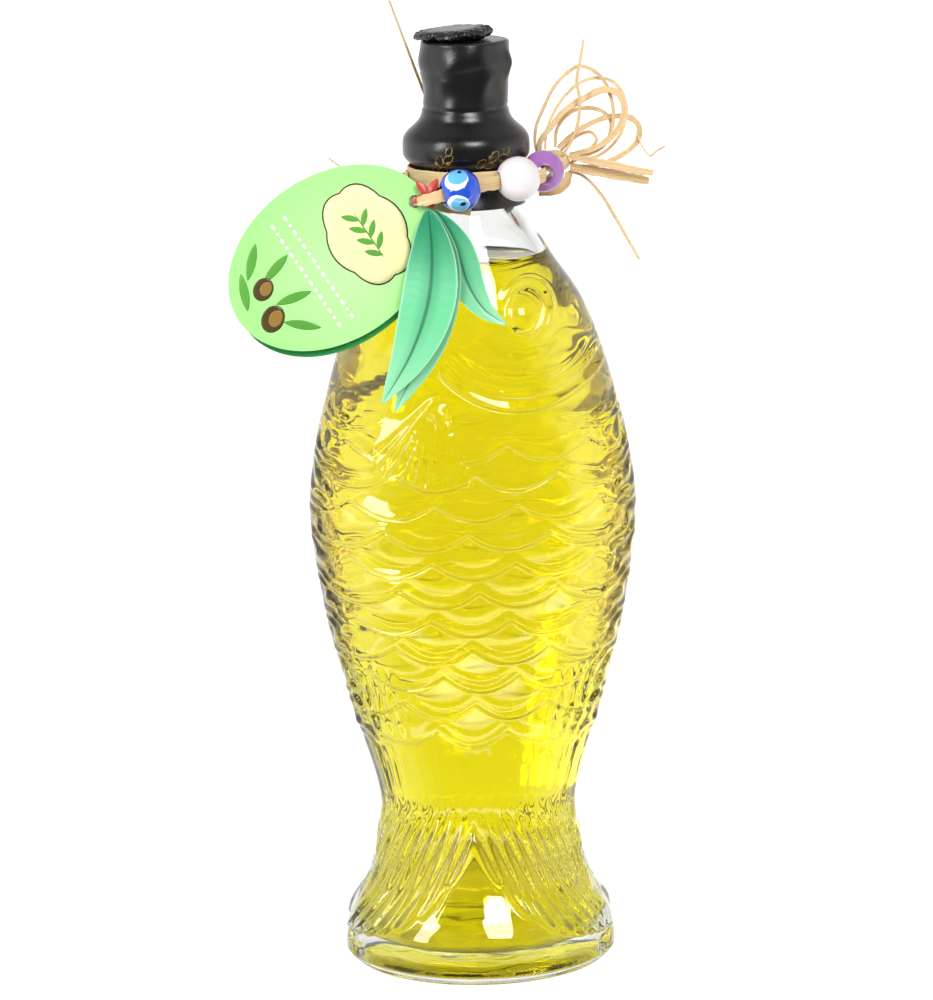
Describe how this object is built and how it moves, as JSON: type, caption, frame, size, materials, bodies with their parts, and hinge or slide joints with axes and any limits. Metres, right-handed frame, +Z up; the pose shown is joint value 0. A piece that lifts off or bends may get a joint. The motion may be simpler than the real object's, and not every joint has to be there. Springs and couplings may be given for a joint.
{
  "type": "fish-shaped glass oil bottle",
  "caption": "Clear glass bottle moulded as an upright fish, filled with yellow oil, with a black film closure, raffia bow, beads and green hang tags.",
  "frame": {"origin": "centre of the flat ring under the tail that the bottle stands on", "axes": "+Z up through the neck, +X towards the fish's back edge, -Y is the side with the tags and beads"},
  "size_m": [0.1214, 0.0684, 0.2746],
  "materials": {
    "glass": "clear moulded glass, gloss",
    "oil": "clear bright yellow oil",
    "black_film": "black shrink film, semi-gloss",
    "raffia": "dry natural raffia, matte",
    "blue_bead": "gloss blue with white and light blue eye marks",
    "pearl_bead": "pearly white, satin",
    "purple_bead": "violet, gloss",
    "red_charm": "red, satin",
    "tag_light": "light green printed card, satin",
    "tag_dark": "dark green printed card, satin",
    "leaf_light": "green printed card leaf, satin",
    "leaf_dark": "darker green card leaf, satin"
  },
  "bodies": {
    "root": {"bead_eye": "blue_bead", "bead_pearl": "pearl_bead", "bead_purple": "purple_bead", "bottle": "glass", "capsule": "black_film", "capsule_film": "black_film", "charm": "red_charm", "leaf_back": "leaf_dark", "leaf_front": "leaf_light", "leaf_middle": "leaf_dark", "oil": "oil", "raffia_band": "raffia", "raffia_knot": "raffia", "raffia_loop_a": "raffia", "raffia_loop_b": "raffia", "raffia_loop_c": "raffia", "raffia_loop_d": "raffia", "raffia_loop_e": "raffia", "raffia_loop_f": "raffia", "raffia_strand": "raffia", "raffia_tail_a": "raffia", "raffia_tail_b": "raffia", "raffia_tail_c": "raffia", "raffia_wisp_a": "raffia", "raffia_wisp_b": "raffia", "raffia_wisp_c": "raffia", "raffia_wisp_d": "raffia", "raffia_wisp_e": "raffia", "raffia_wisp_f": "raffia", "tag_back": "tag_dark", "tag_front": "tag_light"}
  },
  "joints": []
}
